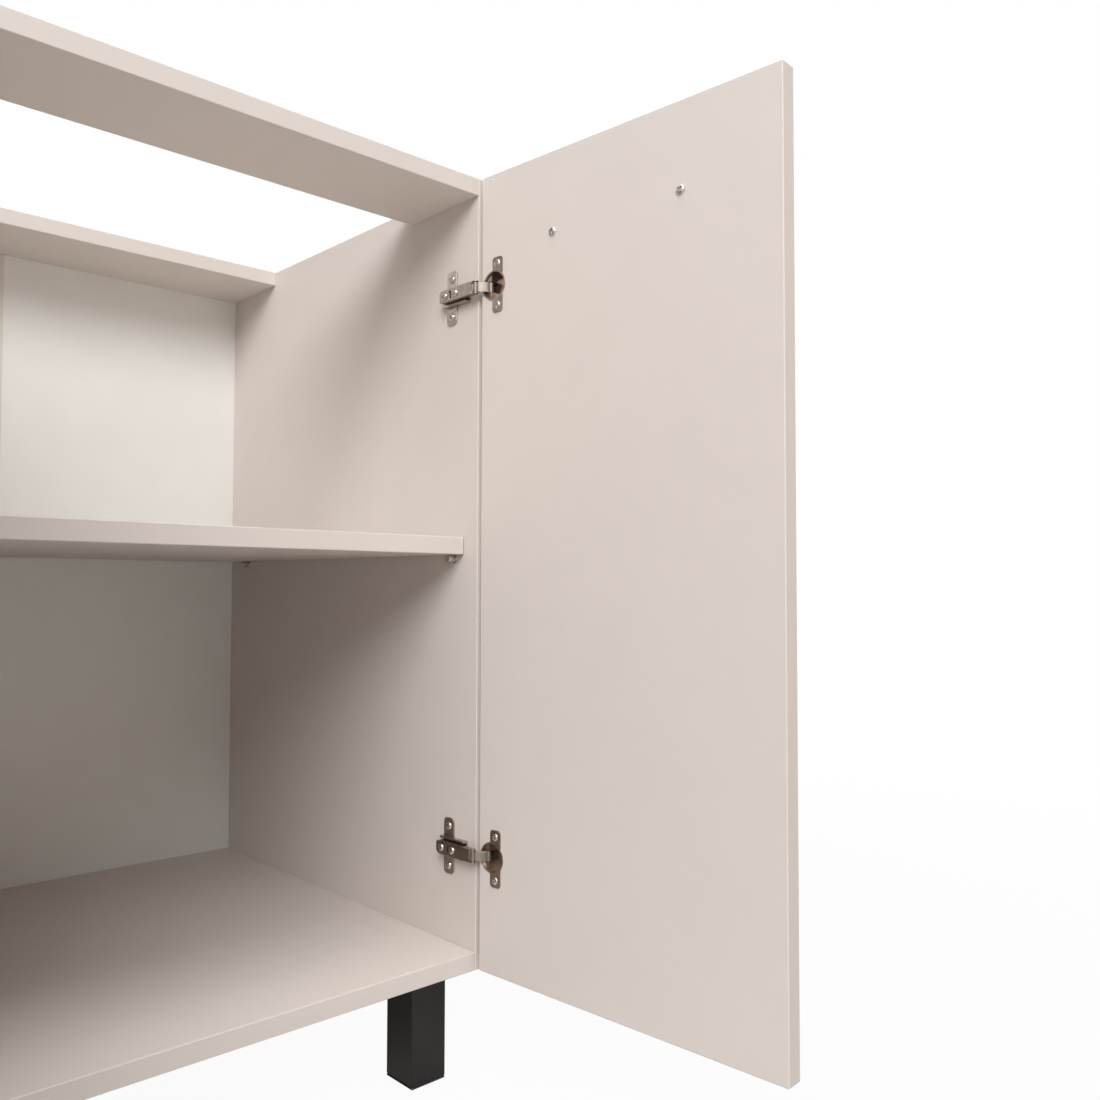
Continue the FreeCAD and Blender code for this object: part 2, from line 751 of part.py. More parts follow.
def hinge_arm(label, side, level):
    """A folded channel over the saddle whose two cheeks hold the arm pin at the nose."""
    body = new_body(label)
    pin_x, pin_y = s.arm_pin_inset, -s.arm_pin_fore
    nose_low = s.arm_pin_inset - s.arm_nose_radius
    outline = new_sketch(body, "XY_Plane")
    polygon(outline, [(nose_low, pin_y), (arm_web, pin_y),
                      (arm_web, s.arm_tail), (s.arm_cheek_gap, s.arm_tail),
                      (s.arm_cheek_gap, s.arm_cheek_step), (nose_low, s.arm_cheek_step / 2)])
    block = pad(body, outline, 2 * arm_half, symmetric=True)

    def at_the_tail(edge):
        first, last = edge.Vertexes[0].Point, edge.Vertexes[-1].Point
        return near(first.y, s.arm_tail) and near(last.y, s.arm_tail) and near(first.z, last.z)

    fillet(body, block, s.arm_tail_round, at_the_tail)
    nose = new_sketch(body, "XY_Plane")
    circle(nose, pin_x, pin_y, 2 * s.arm_nose_radius)
    pad(body, nose, 2 * arm_half, symmetric=True)
    inside = new_sketch(body, "XY_Plane")
    beyond = s.arm_sheet
    before_nose = pin_y - s.arm_nose_radius - beyond
    polygon(inside, [(-beyond, before_nose), (arm_web + beyond, before_nose),
                     (arm_web + beyond, -s.arm_web_front), (web_underside, -s.arm_web_front),
                     (web_underside, s.arm_tail + beyond), (-beyond, s.arm_tail + beyond)])
    pocket(body, inside, 2 * arm_inner, symmetric=True)
    pin_hole = new_sketch(body, "XY_Plane")
    circle(pin_hole, pin_x, pin_y, s.hinge_pin_diameter)
    pocket(body, pin_hole, 2 * arm_half + s.arm_sheet, symmetric=True)
    openings = new_sketch(body, "YZ_Plane")
    for y in (s.arm_rear_screw, s.arm_front_screw):
        circle(openings, y, 0, s.arm_screw_diameter + 2 * s.drill_clearance)
    arm_window(openings)
    pocket(body, openings, arm_web + s.arm_sheet, along_normal=True)
    on_panel(body, side, level)
    keep(body, label)


def plate_screws(bores):
    """Screws that hold the mounting plates to the side panels."""
    screws = []
    make = (s.plate_screw_head_diameter, s.plate_screw_head_height, s.plate_screw_diameter)
    hole = s.plate_screw_diameter + 2 * s.drill_clearance
    y = front_y + s.plate_setback
    for name, side in SIDES.items():
        outwards = RIGHT if side > 0 else LEFT
        seat = side * (inner_half - s.plate_sheet)
        for level in hinge_levels.values():
            for z in (level - s.plate_screw_spacing / 2, level + s.plate_screw_spacing / 2):
                screws.append(screw(*make, s.plate_sheet + s.plate_screw_length, seat, y, z, outwards))
                bore = rod(hole, s.plate_screw_length + s.drill_spare, side * inner_half, y, z, outwards)
                bores[f"side_panel_{name}"].append(bore)
    group("plate_screws", screws)


def arm_fastenings():
    """The fixing and adjusting screws of the arms, and the pins in their noses."""
    screws, pins = [], []
    make = (s.arm_screw_head_diameter, s.arm_screw_head_height, s.arm_screw_diameter, arm_web - s.plate_sheet)
    pin_half = arm_half + s.pin_end_stub
    for side in SIDES.values():
        outwards = RIGHT if side > 0 else LEFT
        pin_x = side * (inner_half - s.arm_pin_inset)
        for level in hinge_levels.values():
            for y in (s.arm_rear_screw, s.arm_front_screw):
                screws.append(screw(*make, side * (inner_half - arm_web), front_y + y, level, outwards))
            foot = (pin_x, front_y - s.arm_pin_fore, level - pin_half)
            pins.append(rod(s.hinge_pin_diameter, 2 * pin_half, *foot, UP))
    group("arm_screws", screws)
    group("arm_pins", pins)


# Hinges: the links

def hinge_link(label, side, level):
    """A bent strap with a rolled eye at each end, from the arm pin to the cup pin."""
    body = new_body(label)
    eye = s.hinge_pin_diameter + 2 * (s.pin_running_clearance + s.link_eye_wall)
    hole = s.hinge_pin_diameter + 2 * s.pin_running_clearance
    half = s.link_sheet / 2
    bend = -side * s.link_bend
    knee, far_knee = s.link_knee, chain.length - s.link_knee
    strap = new_sketch(body, "XY_Plane")
    polygon(strap, [(0, -half), (knee, bend - half), (far_knee, bend - half), (chain.length, -half),
                    (chain.length, half), (far_knee, bend + half), (knee, bend + half), (0, half)])
    pad(body, strap, s.link_height, symmetric=True)
    for x in (0, chain.length):
        ring = new_sketch(body, "XY_Plane")
        circle(ring, x, 0, eye)
        pad(body, ring, s.link_height, symmetric=True)
    bore = new_sketch(body, "XY_Plane")
    for x in (0, chain.length):
        circle(bore, x, 0, hole)
    pocket(body, bore, 2 * s.link_height, symmetric=True)
    angle = chain.angle if side > 0 else 180 - chain.angle
    place(body, side * chain.arm[0], front_y + chain.arm[1], level, Rotation(Vector(0, 0, 1), angle))
    keep(body, label)


# Doors: board, handle, cups and what fastens them

def in_door(side, distance, depth, height):
    """A point of the open door, from its hinge edge, its inner face and its lower edge."""
    return door_frame(side).multVec(Vector(-side * number(distance), -number(depth), number(height)))


def door_rod(side, diameter, length, distance, height):
    """A cylinder into the open door from its inner face."""
    at = in_door(side, distance, 0, height)
    return rod(diameter, length, at.x, at.y, at.z, door_frame(side).Rotation * FRONT)


def door_screw(side, head_diameter, head_height, diameter, length, distance, height, depth):
    """A screw into the open door, seated at a depth below its inner face."""
    at = in_door(side, distance, depth, height)
    inwards = door_frame(side).Rotation * FRONT
    return screw(head_diameter, head_height, diameter, length, at.x, at.y, at.z, inwards)


hinge_heights = {"upper": door_height - s.hinge_end_distance, "lower": s.hinge_end_distance}
handle_places = (door_width / 2 - s.handle_spacing / 2, door_width / 2 + s.handle_spacing / 2)
handle_level = door_height - s.handle_drop


def door(name, side):
    """An edged door board with its cup bores and screw holes."""
    body = new_body(f"door_{name}_blank")
    outline = new_sketch(body, "XY_Plane")
    low, high = (-door_width, 0) if side > 0 else (0, door_width)
    rectangle(outline, low, high, -s.board, 0)
    chamfer(body, pad(body, outline, door_height), s.edge_chamfer)
    body.Placement = door_frame(side)
    wide = 2 * s.drill_clearance
    cup_bore = s.cup_diameter + 2 * s.cup_clearance
    screw_hole_depth = s.cup_screw_length + s.drill_spare
    bores = []
    for height in hinge_heights.values():
        bores.append(door_rod(side, cup_bore, s.cup_depth + s.cup_clearance, cup_centre, height))
        for z in (height - s.cup_screw_spacing / 2, height + s.cup_screw_spacing / 2):
            bores.append(door_rod(side, s.cup_screw_diameter + wide, screw_hole_depth, flange_centre, z))
    for distance in handle_places:
        bores.append(door_rod(side, s.handle_screw_diameter + wide, s.board, distance, handle_level))
    drilled(f"door_{name}", body, bores)


def handle(name, side):
    """A square bow handle: a bar on two posts."""
    body = new_body(f"handle_{name}")
    half, post = s.handle_spacing / 2, s.handle_post / 2
    inside = s.handle_reach - s.handle_bar
    outline = new_sketch(body, "XY_Plane")
    polygon(outline, [(-half - post, 0), (post - half, 0), (post - half, -inside), (half - post, -inside),
                      (half - post, 0), (half + post, 0),
                      (half + post, -s.handle_reach), (-half - post, -s.handle_reach)])
    chamfer(body, pad(body, outline, s.handle_height, symmetric=True), s.handle_chamfer)
    holes = new_sketch(body, "XZ_Plane")
    for x in (-half, half):
        circle(holes, x, 0, s.handle_screw_diameter + 2 * s.drill_clearance)
    pocket(body, holes, s.handle_screw_grip + s.drill_spare, along_normal=True)
    at = in_door(side, door_width / 2, s.board, handle_level)
    body.Placement = Placement(at, door_frame(side).Rotation)
    keep(body, f"handle_{name}")


def cheek(sketch, edge_x, edge_y, radius):
    """The piece of a disc beyond a corner point, on the disc's negative X side."""
    x, y, r = number(edge_x), number(edge_y), number(radius)
    above = y > 0
    corner = Vector(x, y, 0)
    end_of_upright = Vector(x, math.copysign(math.sqrt(r * r - x * x), y), 0)
    end_of_level = Vector(-math.sqrt(r * r - y * y), y, 0)
    first, last = (end_of_upright, end_of_level) if above else (end_of_level, end_of_upright)
    turn = [math.degrees(math.atan2(point.y, point.x)) % 360 for point in (first, last)]
    curve = arc(sketch, 0, 0, radius, *turn)
    inwards = sketch.addGeometry(Part.LineSegment(last, corner))
    outwards = sketch.addGeometry(Part.LineSegment(corner, first))
    sketch.addConstraint(Sketcher.Constraint("Coincident", curve, 2, inwards, 1))
    sketch.addConstraint(Sketcher.Constraint("Coincident", inwards, 2, outwards, 1))
    sketch.addConstraint(Sketcher.Constraint("Coincident", outwards, 2, curve, 1))
    sketch.addConstraint(Sketcher.Constraint("Horizontal", inwards if above else outwards))
    sketch.addConstraint(Sketcher.Constraint("Vertical", outwards if above else inwards))
    fix_point(sketch, inwards, 2, edge_x, edge_y)


def hinge_cup(label, side, height):
    """A drawn steel cup with a rim, a screw flange and two cheeks that hold the cup pin beside the link.

    Its own X runs away from the door's hinge edge and its own Z out of the door's inner face.
    """
    body = new_body(label)
    outer = s.cup_diameter / 2
    rim = outer + s.cup_rim_width
    floor_level = s.cup_wall - s.cup_depth
    pin_x = s.cup_pin_edge_distance - cup_centre
    wall = new_sketch(body, "XZ_Plane")
    polygon(wall, [(0, -s.cup_depth), (outer, -s.cup_depth), (outer, 0), (rim, 0), (rim, s.cup_rim_height),
                   (cup_inner_radius, s.cup_rim_height), (cup_inner_radius, floor_level), (0, floor_level)])
    shell = body.newObject("PartDesign::Revolution", "Revolution")
    shell.Profile = wall
    shell.ReferenceAxis = (wall, ["V_Axis"])
    shell.Angle = 360

    def circle_at(radius, level):
        def wanted(edge):
            round_edge = isinstance(edge.Curve, Part.Circle)
            return round_edge and near(edge.Curve.Radius, radius) and near(edge.Curve.Center.z, level)
        return wanted

    softened = fillet(body, shell, s.cup_rim_round, circle_at(rim, s.cup_rim_height))
    fillet(body, softened, s.cup_foot_round, circle_at(outer, -s.cup_depth))
    cheeks = new_sketch(body, "XY_Plane", floor_level)
    for edge_y in (arm_inner, -arm_inner):
        cheek(cheeks, pin_x + s.cup_cheek_reach, edge_y, cup_inner_radius + s.cup_wall / 2)
    pad(body, cheeks, s.cup_depth - s.cup_wall - s.cup_cheek_drop)
    low, high = s.cup_flange_offset - s.cup_flange_width / 2, s.cup_flange_offset + s.cup_flange_width / 2
    top = s.cup_flange_height / 2
    flange = new_sketch(body, "XY_Plane")
    rounded_rectangle(flange, low, high, -top, top, s.cup_flange_corner)
    pad(body, flange, s.cup_flange)
    mouth = new_sketch(body, "XY_Plane")
    circle(mouth, 0, 0, 2 * cup_inner_radius)
    pocket(body, mouth, s.cup_flange, along_normal=True)
    holes = new_sketch(body, "XY_Plane")
    for z in (-s.cup_screw_spacing / 2, s.cup_screw_spacing / 2):
        circle(holes, s.cup_flange_offset, z, s.cup_screw_diameter + 2 * s.drill_clearance)
    pocket(body, holes, s.cup_flange, along_normal=True)
    pin_hole = new_sketch(body, "XZ_Plane")
    circle(pin_hole, pin_x, -s.cup_pin_depth, s.hinge_pin_diameter)
    pocket(body, pin_hole, 2 * s.cup_diameter, symmetric=True)
    away = door_frame(side).Rotation.multVec(Vector(-side, 0, 0))
    out = door_frame(side).Rotation.multVec(Vector(0, 1, 0))
    body.Placement = Placement(in_door(side, cup_centre, 0, height), Rotation(away, out.cross(away), out))
    keep(body, label)


def door_fastenings(name, side):
    """Cup pins, cup screws and handle screws of one door."""
    pins, cup_screws = [], []
    pin_reach = cup_centre - s.cup_pin_edge_distance + s.hinge_pin_diameter / 2
    pin_half = half_chord(s.cup_diameter / 2, pin_reach)
    make = (s.cup_screw_head_diameter, s.cup_screw_head_height, s.cup_screw_diameter)
    length = s.cup_screw_length + s.cup_flange
    for height in hinge_heights.values():
        low = in_door(side, s.cup_pin_edge_distance, s.cup_pin_depth, height - pin_half)
        pins.append(rod(s.hinge_pin_diameter, 2 * pin_half, low.x, low.y, low.z, UP))
        for z in (height - s.cup_screw_spacing / 2, height + s.cup_screw_spacing / 2):
            cup_screws.append(door_screw(side, *make, length, flange_centre, z, -s.cup_flange))
    handle_make = (s.handle_screw_head_diameter, s.handle_screw_head_height, s.handle_screw_diameter)
    handle_length = s.board + s.handle_screw_grip
    handle_screws = [door_screw(side, *handle_make, handle_length, distance, handle_level, 0)
                     for distance in handle_places]
    group(f"cup_pins_{name}", pins)
    group(f"cup_screws_{name}", cup_screws)
    group(f"handle_screws_{name}", handle_screws)


# The whole cabinet

carcass()
legs()
arm_fastenings()
for side_name, side_sign in SIDES.items():
    for row_name, hinge_level in hinge_levels.items():
        mounting_plate(f"hinge_plate_{row_name}_{side_name}", side_sign, hinge_level)
        hinge_arm(f"hinge_arm_{row_name}_{side_name}", side_sign, hinge_level)
        hinge_link(f"hinge_link_{row_name}_{side_name}", side_sign, hinge_level)
        hinge_cup(f"hinge_cup_{row_name}_{side_name}", side_sign, hinge_heights[row_name])
    door(side_name, side_sign)
    handle(side_name, side_sign)
    door_fastenings(side_name, side_sign)
doc.recompute()

for item in doc.Objects:
    if "Invalid" in item.State or "Error" in item.State:
        raise RuntimeError(f"{item.Label} could not be made: {item.State}")
    if item.TypeId == "PartDesign::Pocket":
        removed = item.BaseFeature.Shape.Volume - item.Shape.Volume
        if removed < SMALLEST_CUT:
            raise RuntimeError(f"{item.Label} cuts nothing")
for item in subparts:
    if item.Shape.isNull() or not item.Shape.isValid():
        raise RuntimeError(f"{item.Label} has no valid shape")

os.makedirs("parts", exist_ok=True)
for item in subparts:
    item.Shape.exportStep(f"parts/{item.Label}.step")

print(f"{len(subparts)} sub-parts")
print(f"carcass front at y {front_y:.3f}")
print(f"open door corner {chain.corner[0]:.3f}, {front_y + chain.corner[1]:.3f}")
print(f"arm pin {chain.arm[0]:.3f}, {front_y + chain.arm[1]:.3f}")
print(f"cup pin {chain.cup[0]:.3f}, {front_y + chain.cup[1]:.3f}, link angle {chain.angle:.3f}")
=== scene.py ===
# %% [markdown]
# # Dressing a kitchen base cabinet
# The cabinet is flat-pack furniture: greige melamine boards, a thin pale back, nickel hinges, black legs.
# Its solids already stand at their real size, so this lesson adds what makes them look real: the camera,
# soft light, a finish for every surface, and finely shaped screws, pins and hinge pieces.

# %% Load the cabinet
import json
import math
from types import SimpleNamespace

import bmesh
import bpy
import numpy as np
from mathutils import Matrix, Vector

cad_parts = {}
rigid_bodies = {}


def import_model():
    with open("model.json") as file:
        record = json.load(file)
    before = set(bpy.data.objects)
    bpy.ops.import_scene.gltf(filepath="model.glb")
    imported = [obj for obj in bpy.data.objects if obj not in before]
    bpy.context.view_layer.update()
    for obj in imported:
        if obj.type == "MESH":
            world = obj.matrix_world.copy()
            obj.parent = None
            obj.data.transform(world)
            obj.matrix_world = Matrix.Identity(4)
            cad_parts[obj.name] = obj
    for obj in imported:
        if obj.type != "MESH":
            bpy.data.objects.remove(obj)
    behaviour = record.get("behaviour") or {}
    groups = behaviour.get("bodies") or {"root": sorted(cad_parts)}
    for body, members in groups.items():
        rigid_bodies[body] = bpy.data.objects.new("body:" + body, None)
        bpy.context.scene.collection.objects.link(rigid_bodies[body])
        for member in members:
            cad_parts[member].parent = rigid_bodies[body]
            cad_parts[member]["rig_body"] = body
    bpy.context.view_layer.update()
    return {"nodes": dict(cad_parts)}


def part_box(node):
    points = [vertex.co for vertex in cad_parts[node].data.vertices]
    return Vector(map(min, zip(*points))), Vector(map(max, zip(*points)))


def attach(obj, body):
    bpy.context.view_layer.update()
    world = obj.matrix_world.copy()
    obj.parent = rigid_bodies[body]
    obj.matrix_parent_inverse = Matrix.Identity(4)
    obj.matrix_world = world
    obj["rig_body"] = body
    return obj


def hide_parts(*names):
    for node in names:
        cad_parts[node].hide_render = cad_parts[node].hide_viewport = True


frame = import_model()
nodes = frame["nodes"]
MM = 0.001

# %% [markdown]
# ## The camera
# The picture is taken from the front left, at about half the cabinet's height, and shows the right half.
# The lens is a mild wide angle. The optical centre is left of the picture's middle, so the frame is shifted
# a little. The eye's place is measured from the lower front corner of the right side panel, where three
# edges meet in the picture.

# %% Camera
IMAGE_PIXELS = 1100
FOCAL_PIXELS = 993.8
OPTICAL_CENTRE = (473.5, 550.9)
EYE_FROM_CORNER = Vector((-0.5973, -0.6787, 0.3437))
TURN_RIGHT, LOOK_UP, ROLL = (math.radians(degrees) for degrees in (41.13, 2.07, 0.28))
SENSOR_MM = 36
NEAREST_SEEN = 0.01

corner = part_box("side_panel_right")[0]
ahead_level = Vector((math.sin(TURN_RIGHT), math.cos(TURN_RIGHT), 0))
ahead = ahead_level * math.cos(LOOK_UP) + Vector((0, 0, math.sin(LOOK_UP)))
level_right = Vector((math.cos(TURN_RIGHT), -math.sin(TURN_RIGHT), 0))
level_up = level_right.cross(ahead)
right = level_right * math.cos(ROLL) + level_up * math.sin(ROLL)
up = right.cross(ahead)

camera_data = bpy.data.cameras.new("camera")
camera_data.sensor_width = SENSOR_MM
camera_data.lens = SENSOR_MM * FOCAL_PIXELS / IMAGE_PIXELS
camera_data.shift_x = 0.5 - OPTICAL_CENTRE[0] / IMAGE_PIXELS
camera_data.shift_y = OPTICAL_CENTRE[1] / IMAGE_PIXELS - 0.5
camera_data.clip_start = NEAREST_SEEN
camera = bpy.data.objects.new("camera", camera_data)
axes = Matrix((right, up, -ahead)).transposed().to_4x4()
camera.matrix_world = Matrix.Translation(corner + EYE_FROM_CORNER) @ axes
bpy.context.scene.collection.objects.link(camera)
bpy.context.scene.camera = camera
print(f"camera at {tuple(round(x, 3) for x in camera.location)}, lens {camera_data.lens:.1f} mm")

# %% [markdown]
# ## Shader maths as Python
# A finish is a small sum of patterns. The class below wraps one output of a shader node, so that patterns
# add and multiply like numbers, and each operator leaves a Math node behind. Every other node comes from
# the single `node` method.


# %% Wires between shader nodes
class Wire:
    """One output of a shader node. Arithmetic on it adds Math nodes."""

    def __init__(self, tree, socket):
        self.tree = tree
        self.socket = socket

    @staticmethod
    def node(tree, kind, settings=None, inputs=None, output=0):
        """Adds a node: its settings first, then its sockets' values or links. Gives one of its outputs."""
        made = tree.nodes.new(kind)
        for name, value in (settings or {}).items():
            setattr(made, name, value)
        for name, value in (inputs or {}).items():
            if isinstance(value, Wire):
                tree.links.new(value.socket, made.inputs[name])
            else:
                made.inputs[name].default_value = value
        return Wire(tree, made.outputs[output])

    def math(self, operation, *values):
        """A Math node that works on the given wires and numbers."""
        return Wire.node(self.tree, "ShaderNodeMath", {"operation": operation}, dict(enumerate(values)))

    def __add__(self, other):
        return self.math("ADD", self, other)

    __radd__ = __add__

    def __mul__(self, other):
        return self.math("MULTIPLY", self, other)

    __rmul__ = __mul__

    def __sub__(self, other):
        return self.math("SUBTRACT", self, other)

    def __rsub__(self, other):
        return self.math("SUBTRACT", other, self)

    def __abs__(self):
        return self.math("ABSOLUTE", self)

    def ramp(self, low, high):
        """0 below low, 1 above high, and a smooth rise between them."""
        settings = {"interpolation_type": "SMOOTHSTEP"}
        return Wire.node(self.tree, "ShaderNodeMapRange", settings, {0: self, 1: low, 2: high})

    def mix(self, low, high):
        """The first colour where the wire is 0, and the second where it is 1.

        A Mix node has sockets for every kind of value: its colours are inputs 6 and 7 and output 2.
        """
        settings = {"data_type": "RGBA"}
        return Wire.node(self.tree, "ShaderNodeMix", settings, {0: self, 6: low, 7: high}, output=2)


print("shader maths ready")


# %% Colours as a screen shows them
def colour(red, green, blue):
    """A colour given as the screen shows it, 0 to 255, in the linear values that a shader reads.

    The screen's curve is sRGB: a straight line for the darkest values and a power of 2.4 above them.
    """
    screen = np.array((red, green, blue)) / 255
    linear = np.where(screen <= 0.04045, screen / 12.92, ((screen + 0.055) / 1.055) ** 2.4)
    return (*map(float, linear), 1.0)


print(f"a screen's middle grey is {colour(128, 128, 128)[0]:.3f} of white in linear light")

# %% [markdown]
# ## A frame for every finish
# Each finish starts from the same few nodes: a Principled shader and the place on the piece in metres.
# Whatever is constant is set on the shader's own sockets. Whatever varies is a wire.


# %% Finish maker
class Finish:
    """A new material with its shader, the surface position and helpers for patterns."""

    def __init__(self, name, **sockets):
        self.material = bpy.data.materials.new(name)
        self.material.use_nodes = True
        self.tree = self.material.node_tree
        self.shader = self.tree.nodes["Principled BSDF"]
        self.place = Wire.node(self.tree, "ShaderNodeTexCoord", output="Object")
        for socket, value in sockets.items():
            self.set(socket.replace("_", " "), value)

    def set(self, socket, value):
        """Gives one of the shader's sockets a constant or a wire."""
        if isinstance(value, Wire):
            self.tree.links.new(value.socket, self.shader.inputs[socket])
        else:
            self.shader.inputs[socket].default_value = value

    def noise(self, grain, detail=2.0, roughness=0.5, stretch=(1, 1, 1)):
        """Cloudy noise whose features are about a grain wide, in metres."""
        vector = Wire.node(self.tree, "ShaderNodeMapping", None, {"Vector": self.place, "Scale": stretch})
        inputs = {"Vector": vector, "Scale": 1 / grain, "Detail": detail, "Roughness": roughness}
        return Wire.node(self.tree, "ShaderNodeTexNoise", None, inputs)

    def axis(self, name):
        """One coordinate of the surface position."""
        return Wire.node(self.tree, "ShaderNodeSeparateXYZ", None, {0: self.place}, output=name)

    def bump(self, height, depth):
        """Raises the surface by a wire that runs from 0 to 1, to a depth in metres."""
        inputs = {"Strength": 1.0, "Distance": depth, "Height": height}
        self.set("Normal", Wire.node(self.tree, "ShaderNodeBump", None, inputs))


def wear(name, finish):
    """Gives a solid its finish."""
    mesh = nodes[name].data
    mesh.materials.clear()
    mesh.materials.append(finish.material)


print("finish maker ready")

# %% [markdown]
# ## Greige melamine
# The boards are chipboard faced with printed melamine paper, pressed against a finely textured plate. The
# colour is even, with the faintest cloudiness, and the gloss is low and slightly broken by the texture.
# The boards' front edges, and the doors' upper and lower ones, carry a glued band of the same colour, and
# its glue line shows as a hair-thin darker stripe just behind the edge. A picture of the paper would show
# its pixels up close, so noise of real size makes the texture, and each board's own box places the stripe.

# %% Melamine boards
GREIGE, GREIGE_DEEP = colour(214, 206, 200), colour(211, 203, 197)
GLUE_LINE = colour(186, 174, 163)
BAND_THICKNESS = 0.8 * MM
GLUE_HALF_WIDTH = 0.09 * MM
GLUE_SHARE = 0.5
CLOUD_SHARE, FINE_SHARE = 0.4, 0.6
SOFT_RISE = (0.3, 0.7)
BOARD_ROUGHNESS, BOARD_CLOUD, BOARD_PEARL = 0.46, 0.05, 0.08


def melamine(name, bands):
    """Melamine with glue lines at the given (axis, coordinate) planes."""
    finish = Finish(name, Specular_IOR_Level=0.35)
    cloud = finish.noise(grain=45 * MM, detail=3.0)
    pearl = finish.noise(grain=0.45 * MM)
    shade = (cloud.ramp(*SOFT_RISE) * CLOUD_SHARE + pearl * FINE_SHARE).mix(GREIGE, GREIGE_DEEP)
    for axis, level in bands:
        line = 1 - abs(finish.axis(axis) - level).ramp(GLUE_HALF_WIDTH, 2 * GLUE_HALF_WIDTH)
        shade = (line * GLUE_SHARE).mix(shade, GLUE_LINE)
    finish.set("Base Color", shade)
    finish.set("Roughness", BOARD_ROUGHNESS + BOARD_CLOUD * cloud + BOARD_PEARL * pearl)
    finish.bump(pearl, depth=0.006 * MM)
    return finish


for name in ("side_panel_left", "side_panel_right", "bottom_panel", "front_rail", "rear_rail", "shelf"):
    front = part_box(name)[0].y
    wear(name, melamine(f"melamine_{name}", [("Y", front + BAND_THICKNESS)]))
for name in ("door_left", "door_right"):
    low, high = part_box(name)
    levels = [("Z", low.z + BAND_THICKNESS), ("Z", high.z - BAND_THICKNESS)]
    wear(name, melamine(f"melamine_{name}", levels))
print("melamine on the boards and doors")

# %% [markdown]
# ## Back panels and joint strip
# The back is thin hardboard. Its inner face has a pale lacquer, a little cooler and brighter than the
# boards, while its edges and its outer face, which stands against the wall, are left raw and show pressed
# brown fibres. Two materials would need the faces sorted, so one material changes over by the depth behind
# the inner face. The strip that joins the halves is extruded plastic of nearly the boards' colour.

# %% Back panels
LACQUER, LACQUER_DEEP = colour(235, 235, 232), colour(232, 232, 228)
RAW_BOARD, RAW_BOARD_DEEP = colour(166, 128, 94), colour(138, 102, 72)
LACQUER_THICKNESS = 0.1 * MM
LACQUER_ROUGHNESS, LACQUER_PEEL, RAW_ROUGHER = 0.42, 0.08, 0.25
EVEN_SHARE = 0.5


def lacquered_hardboard(inner_face):
    """Hardboard that is lacquered where its Y is within a coat's thickness of the inner face."""
    finish = Finish("lacquered_hardboard", Specular_IOR_Level=0.4)
    cloud = finish.noise(grain=35 * MM, detail=4.0)
    peel = finish.noise(grain=1.6 * MM)
    fibre = finish.noise(grain=2.5 * MM, detail=6.0, roughness=0.7)
    raw = finish.axis("Y").ramp(inner_face + LACQUER_THICKNESS, inner_face + 2 * LACQUER_THICKNESS)
    lacquer = (cloud * EVEN_SHARE + peel * EVEN_SHARE).ramp(*SOFT_RISE).mix(LACQUER, LACQUER_DEEP)
    board = (cloud * CLOUD_SHARE + fibre * FINE_SHARE).ramp(*SOFT_RISE).mix(RAW_BOARD, RAW_BOARD_DEEP)
    finish.set("Base Color", raw.mix(lacquer, board))
    finish.set("Roughness", LACQUER_ROUGHNESS + LACQUER_PEEL * peel + RAW_ROUGHER * raw)
    finish.bump(peel, depth=0.008 * MM)
    return finish


back_finish = lacquered_hardboard(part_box("back_panel_right")[0].y)
wear("back_panel_left", back_finish)
wear("back_panel_right", back_finish)
print("pale back, raw behind")

# %% Joint strip
STRIP = colour(221, 214, 206)
STRIP_ROUGHNESS, STRIP_DRAW = 0.35, 0.15
DRAWN_UPRIGHT = (1, 1, 0.02)


def strip_plastic():
    """Extruded plastic with fine upright lines from the die."""
    finish = Finish("strip_plastic", Base_Color=STRIP)
    draw = finish.noise(grain=0.6 * MM, stretch=DRAWN_UPRIGHT)
    finish.set("Roughness", STRIP_ROUGHNESS + STRIP_DRAW * draw)
    finish.bump(draw, depth=0.01 * MM)
    return finish


wear("back_joint_strip", strip_plastic())
print("plastic on the strip between the backs")

# %% [markdown]
# ## Metal, black plastic and beech
# Hinges are nickel plated: mirror-like and slightly warm, with soft streaks from the press tool. Their
# colour is darker than bare nickel, partly painted shade for the dark surroundings they reflect. The
# mounting plates are cast and the cups deep drawn. The plates' colour is paler, a painted highlight, and the
# cups' and links' colours are darker, painted shade. The links are also rougher, so they look rubbed dull.
# Screws are zinc plated and paler, cam locks are die-cast zinc, and dowels are beech. The legs are satin
# black plastic with a fine moulded grain, and the handles have a matt black powder coat. One recipe serves
# all the metals and one both blacks, so that they differ only by their values: those that differ in the
# workshop, and for the nickel also its painted light and shade.

# %% Plated metal
# All nickel colours here are darker than bare nickel, partly painted shade for the dark surroundings that
# the hinges reflect.
NICKEL, NICKEL_DEEP = colour(170, 158, 148), colour(144, 132, 123)
# Painted highlight: the plates' nickel is paler than the rest, for the bright reflections they catch.
PLATE_NICKEL_PAINTED_LIGHT, PLATE_NICKEL_PAINTED_LIGHT_DEEP = colour(192, 182, 173), colour(166, 156, 148)
# Painted shade: the links' nickel is darker than the rest, to dim their highlight.
LINK_NICKEL_PAINTED_SHADE, LINK_NICKEL_PAINTED_SHADE_DEEP = colour(156, 146, 136), colour(134, 124, 115)
# Painted shade: the cups' nickel is darker than the rest, for the dark cabinet inside that they reflect.
CUP_NICKEL_PAINTED_SHADE, CUP_NICKEL_PAINTED_SHADE_DEEP = colour(160, 144, 132), colour(130, 115, 105)
ZINC, ZINC_DEEP = colour(214, 210, 204), colour(190, 186, 180)
CAST_ZINC, CAST_ZINC_DEEP = colour(168, 167, 166), colour(140, 139, 138)
STREAK_RISE, STREAK_STRETCH = (0.35, 0.65), (1, 1, 4)
ROUGHNESS_SWING = 0.1


